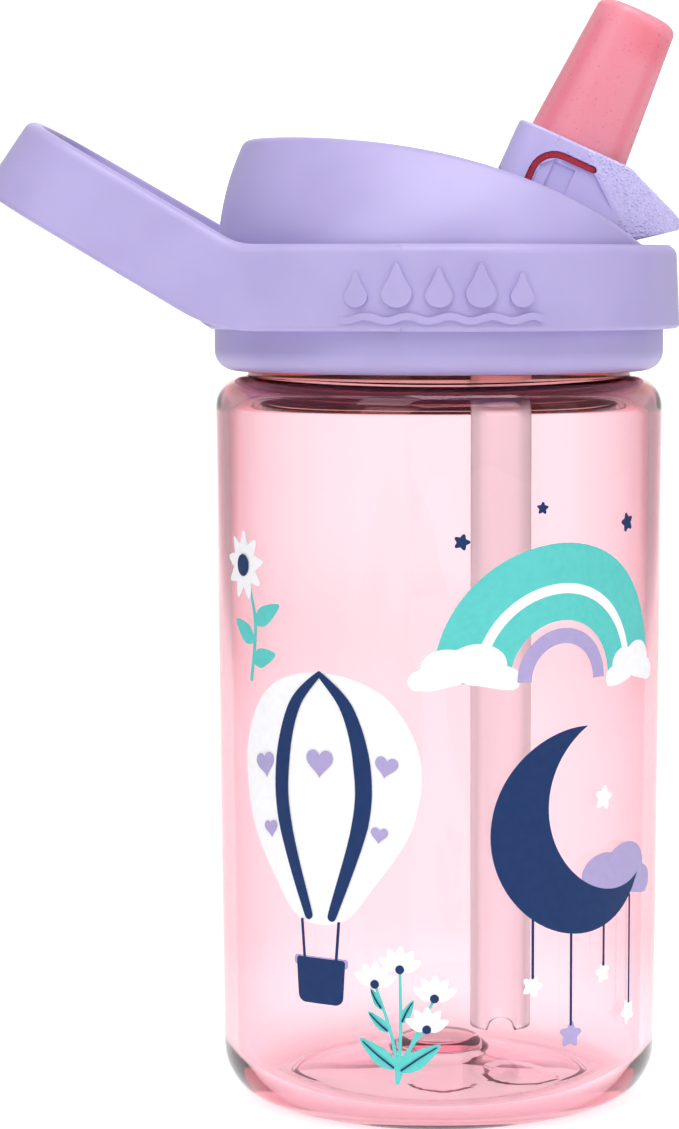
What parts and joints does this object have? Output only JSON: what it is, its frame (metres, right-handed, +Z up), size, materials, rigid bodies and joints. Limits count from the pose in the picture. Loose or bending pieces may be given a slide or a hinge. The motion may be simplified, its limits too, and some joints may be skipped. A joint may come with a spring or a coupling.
{
  "type": "kids water bottle",
  "caption": "Child's drinking bottle: clear tumbler body, screw lid with a tilted carry loop, and a leaning silicone bite spout that folds down into the domed lid.",
  "frame": {"origin": "centre of the ring the bottle stands on", "axes": "+Z up along the bottle's axis, +X towards the drinker and the spout, -X towards the carry loop"},
  "size_m": [0.1125, 0.0786, 0.1795],
  "materials": {
    "clear_pink": "clear",
    "lavender_satin": "satin",
    "pink_silicone": "satin",
    "straw_clear": "clear"
  },
  "bodies": {
    "bottle": {"bottle_body": "clear_pink"},
    "seal": {"lid_gasket": "pink_silicone"},
    "lid": {"lid_collar": "lavender_satin", "lid_dome": "lavender_satin", "lid_liner": "lavender_satin", "vent_valve": "pink_silicone", "straw": "straw_clear"},
    "spout": {"flip_spout": "lavender_satin", "bite_valve": "pink_silicone"}
  },
  "joints": [
    {"name": "lid_rise", "type": "slide", "parent": "bottle", "child": "seal", "axis": [0, 0, 1], "range_m": [0, 0.00676]},
    {"name": "lid_turn", "type": "hinge", "parent": "seal", "child": "lid", "pos_m": [0, 0, 0.13], "axis": [0, 0, 1], "range_deg": [0, 540]},
    {"name": "spout_flip", "type": "hinge", "parent": "lid", "child": "spout", "pos_m": [0.0175, 0, 0.1445], "axis": [0, -1, 0], "range_deg": [0, 107]}
  ],
  "couplings": [
    {"joint": "lid_rise", "follows": "lid_turn", "m_per_rad": 0.0007162}
  ]
}
